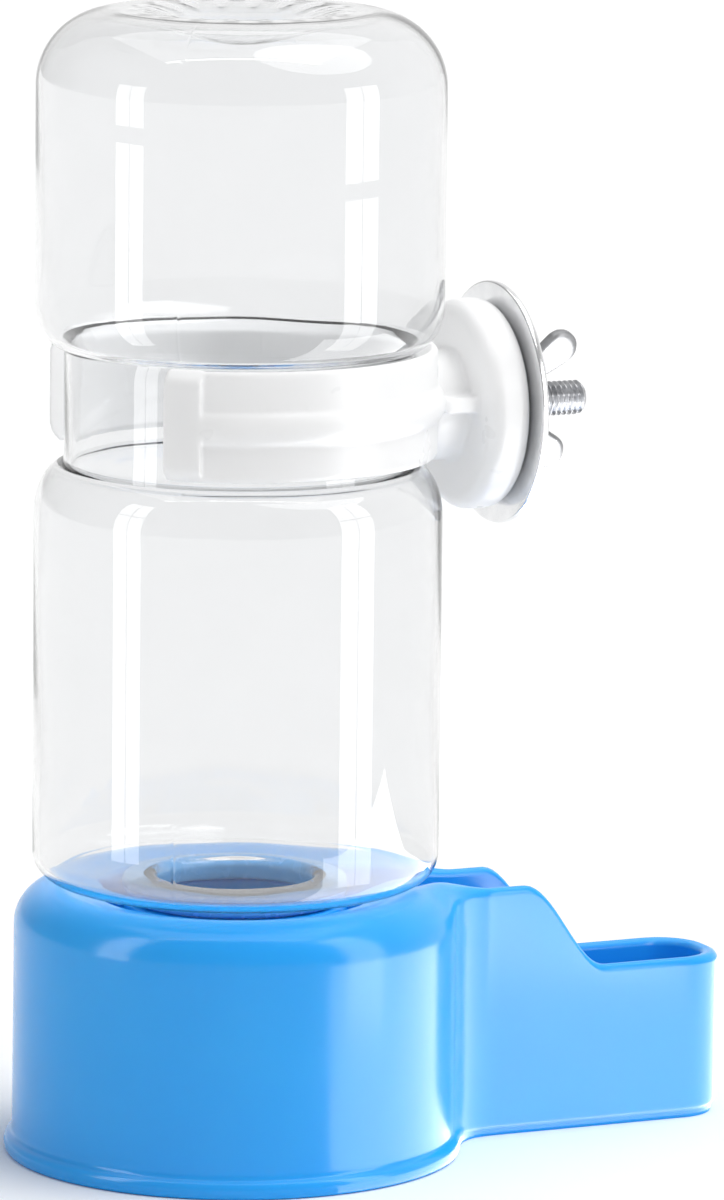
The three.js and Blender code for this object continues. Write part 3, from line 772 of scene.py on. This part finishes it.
hex_r, hex_back, hex_front = 6.07, 34.7, 39.3
arm = on_bolt(turned([(hex_r, RING_INNER_R + 0.9), (ARM_R, RING_INNER_R + 0.9), (ARM_R, PAD_BACK + 2),
                      (hex_r, PAD_BACK + 2)], round_angles(96), True))
arm_floor = on_bolt(turned([(0, RING_INNER_R + 0.9), (ARM_R - 0.5, RING_INNER_R + 0.9),
                            (ARM_R - 0.5, hex_back), (0, hex_back)], round_angles(96)))
plate = (
    [(u, y, z) for u in (RING_R - 0.6, PAD_BACK + 1) for y in (-PLATE_HALF, PLATE_HALF)
     for z in (PLATE_BOTTOM_Z, PLATE_TOP_Z)],
    [(0, 1, 3, 2), (4, 6, 7, 5), (0, 4, 5, 1), (2, 3, 7, 6), (0, 2, 6, 4), (1, 5, 7, 3)],
)
pad = on_bolt(turned([
    (BOLT_R + 0.3, hex_front), (hex_r, hex_front), (hex_r, PAD_BACK), (PAD_R - 3.4, PAD_BACK),
    *arc(PAD_R - 3.0, PAD_BACK + 2.6, 3.0, 2.6, -90, 0, 10)[1:],
    *arc(PAD_R - 2.6, PAD_FACE - 2.6, 2.6, 2.6, 0, 90, 12),
    (BOLT_R + 0.3, PAD_FACE),
], round_angles(144), True))

white_plastic, white_tree, white_shader = start_finish(
    "white_plastic", IOR=1.49, Subsurface_Weight=0.3, Subsurface_Scale=0.0025,
)
white_shader.inputs["Subsurface Radius"].default_value = (1.0, 1.0, 1.0)
shade_between(white_tree, mottle(white_tree, 45).outputs["Fac"],
              (0.87, 0.873, 0.877), (0.90, 0.902, 0.905), white_shader.inputs["Base Color"])
gloss_between(white_tree, mottle(white_tree, 110).outputs["Fac"],
              0.27, 0.36, white_shader.inputs["Roughness"])
surface_grain(white_tree, mottle(white_tree, 320, 2).outputs["Fac"], 0.12, 0.05, white_shader)
clip = moulded("cage_clip", [c_ring, *lips, arm, arm_floor, plate, pad], 0.38, 5, white_plastic)
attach(clip, "cage_clip")
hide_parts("clip")


# ---- Bolt ----
# A zinc-plated M6 hex bolt, pushed through the arm and pad from the bottle's side. Its rolled thread
# carries the washer and the wing nut, and its end is chamfered.

BOLT_END = 64.7
HEAD_BACK = 35.0
HEAD_FRONT = 39.0
HEAD_CORNER_R = 5.77
SCREW_PITCH = 1.0
SCREW_DEPTH = 0.55
THREAD_FROM = 46.0

steel, steel_tree, steel_shader = start_finish("zinc_plate", Metallic=1.0)
shade_between(steel_tree, mottle(steel_tree, 500, 4).outputs["Fac"],
              (0.38, 0.385, 0.40), (0.54, 0.545, 0.56), steel_shader.inputs["Base Color"])
gloss_between(steel_tree, mottle(steel_tree, 900, 4).outputs["Fac"],
              0.28, 0.4, steel_shader.inputs["Roughness"])
surface_grain(steel_tree, mottle(steel_tree, 1500, 3).outputs["Fac"], 0.15, 0.03, steel_shader)

sides = 48
bolt_rows = []
for i in range(int((BOLT_END - THREAD_FROM) / SCREW_PITCH * 10) + 1):
    u = min(BOLT_END, THREAD_FROM + i * SCREW_PITCH / 10)
    crest = min(BOLT_R, BOLT_R - 0.75 + (BOLT_END - u))
    row = []
    for k in range(sides):
        phase = (u / SCREW_PITCH - k / sides) % 1
        tooth = min(1.0, max(0.0, 1.25 * abs(2 * phase - 1) - 0.125))
        run_in = ease((u - THREAD_FROM) / 1.5)
        r = min(crest, BOLT_R - SCREW_DEPTH * tooth * run_in)
        angle = 2 * math.pi * k / sides
        row.append((u, r * math.cos(angle), BOLT_Z + r * math.sin(angle)))
    bolt_rows.append(row)
shank_row = [(HEAD_FRONT, BOLT_R * math.cos(2 * math.pi * k / sides),
              BOLT_Z + BOLT_R * math.sin(2 * math.pi * k / sides)) for k in range(sides)]


def hex_row(u, r):
    """Points round the hexagon's flats at this radius to the corners, as many as the shank has."""
    row = []
    for k in range(sides):
        angle = 2 * math.pi * k / sides
        off = (angle + math.pi / 6) % (math.pi / 3) - math.pi / 6
        flat = r * math.cos(math.pi / 6) / math.cos(math.pi / 6 - abs(off))
        row.append((u, flat * math.cos(angle), BOLT_Z + flat * math.sin(angle)))
    return row


bolt_rows = [hex_row(HEAD_BACK, HEAD_CORNER_R - 0.5), hex_row(HEAD_BACK + 0.5, HEAD_CORNER_R),
             hex_row(HEAD_FRONT, HEAD_CORNER_R), shank_row, *bolt_rows]
bolt_points = [point for row in bolt_rows for point in row]
bolt_faces = wrapped_rows(len(bolt_rows) - 1, sides)
bolt_faces += [tuple(range(sides)), tuple((len(bolt_rows) - 1) * sides + k for k in range(sides))]
bolt = make_piece("clamp_bolt", bolt_points, bolt_faces, steel, 28)
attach(bolt, "cage_clip")
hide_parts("bolt")


# ---- Washer ----
# A wide stamped steel washer, zinc-plated. Its punched edge is rounded on one side, and it presses the
# cage wires against the clip's pad.

WASHER_R = 21.0
WASHER_BACK = PAD_FACE + 0.3
WASHER_FRONT = WASHER_BACK + 1.4
washer_profile = [
    (BOLT_R + 0.3, WASHER_BACK + 0.3), (BOLT_R + 0.6, WASHER_BACK),
    *[(mix(BOLT_R + 2, WASHER_R - 2, i / 8), WASHER_BACK) for i in range(9)],
    *arc(WASHER_R - 0.3, WASHER_BACK + 0.3, 0.3, 0.3, -90, 0, 4),
    *arc(WASHER_R - 0.7, WASHER_FRONT - 0.7, 0.7, 0.7, 0, 90, 7),
    *[(mix(WASHER_R - 2, BOLT_R + 2, i / 8), WASHER_FRONT) for i in range(9)],
    (BOLT_R + 0.7, WASHER_FRONT), (BOLT_R + 0.3, WASHER_FRONT - 0.4),
]
sheet_steel, sheet_tree, sheet_shader = start_finish("polished_sheet_steel", Metallic=1.0)
shade_between(sheet_tree, mottle(sheet_tree, 300, 4).outputs["Fac"],
              (0.74, 0.745, 0.755), (0.84, 0.845, 0.85), sheet_shader.inputs["Base Color"])
gloss_between(sheet_tree, mottle(sheet_tree, 160, 3).outputs["Fac"],
              0.14, 0.24, sheet_shader.inputs["Roughness"])
surface_grain(sheet_tree, mottle(sheet_tree, 900, 2).outputs["Fac"], 0.08, 0.03, sheet_shader)
washer = make_piece("clamp_washer", *on_bolt(turned(washer_profile, round_angles(144), True)), sheet_steel)
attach(washer, "clamp_washer")
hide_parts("washer")


# ---- Wing nut ----
# A cast zinc wing nut: a short tapered hub with two paddle wings that spread away from the washer. It is
# turned by hand on the bolt to clamp the cage wires.

NUT_BACK = WASHER_FRONT + 0.3
NUT_HUB_R = 5.6
NUT_HUB_LENGTH = 7.2
NUT_TURN = math.radians(14)
WING_HALF_THICK = 1.2
WING_TIP = (10.2, 9.7)
WING_TIP_R = 3.0

hub = on_bolt(turned([
    (BOLT_R + 0.25, NUT_BACK), (NUT_HUB_R - 0.3, NUT_BACK), (NUT_HUB_R, NUT_BACK + 0.4),
    (NUT_HUB_R, NUT_BACK + 2),
    (NUT_HUB_R - 0.8, NUT_BACK + NUT_HUB_LENGTH - 0.6), (NUT_HUB_R - 1.4, NUT_BACK + NUT_HUB_LENGTH),
    (BOLT_R + 0.25, NUT_BACK + NUT_HUB_LENGTH),
], round_angles(72), True))


def nut_wing(flip):
    """One paddle: its side view swept across its thickness, thinner and rounded at the rim."""
    outline = [(0.9, 4.2), (0.9, NUT_HUB_R - 0.6), (2.2, 6.2), (3.6, 7.5), (5.4, 8.9)]
    outline += [(WING_TIP[0] + u, WING_TIP[1] + r)
                for u, r in arc(0, 0, WING_TIP_R, WING_TIP_R, 128, -48, 12)]
    outline += [(9.9, 6.0), (8.2, 5.0), (NUT_HUB_LENGTH - 0.4, 4.4)]
    points = []
    for across, shrink in ((-1, 0.86), (-0.55, 1.0), (0.55, 1.0), (1, 0.86)):
        for u, r in outline:
            u, r = mix(6.5, u, shrink), mix(6.8, r, shrink)
            y, z = WING_HALF_THICK * across, r * flip
            points.append((NUT_BACK + u, y * math.cos(NUT_TURN) - z * math.sin(NUT_TURN),
                           BOLT_Z + y * math.sin(NUT_TURN) + z * math.cos(NUT_TURN)))
    count = len(outline)
    faces = wrapped_rows(3, count)
    return points, faces + [tuple(range(count)), tuple(3 * count + k for k in range(count))]


cast_zinc, cast_tree, cast_shader = start_finish("cast_zinc", Metallic=1.0)
shade_between(cast_tree, mottle(cast_tree, 400, 4).outputs["Fac"],
              (0.22, 0.223, 0.23), (0.32, 0.323, 0.33), cast_shader.inputs["Base Color"])
gloss_between(cast_tree, mottle(cast_tree, 700, 4).outputs["Fac"],
              0.4, 0.5, cast_shader.inputs["Roughness"])
surface_grain(cast_tree, mottle(cast_tree, 900, 3).outputs["Fac"], 0.2, 0.04, cast_shader)
nut = moulded("clamp_wing_nut", [hub, nut_wing(1), nut_wing(-1)], 0.22, 3, cast_zinc)
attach(nut, "clamp_nut")
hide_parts("wing_nut")
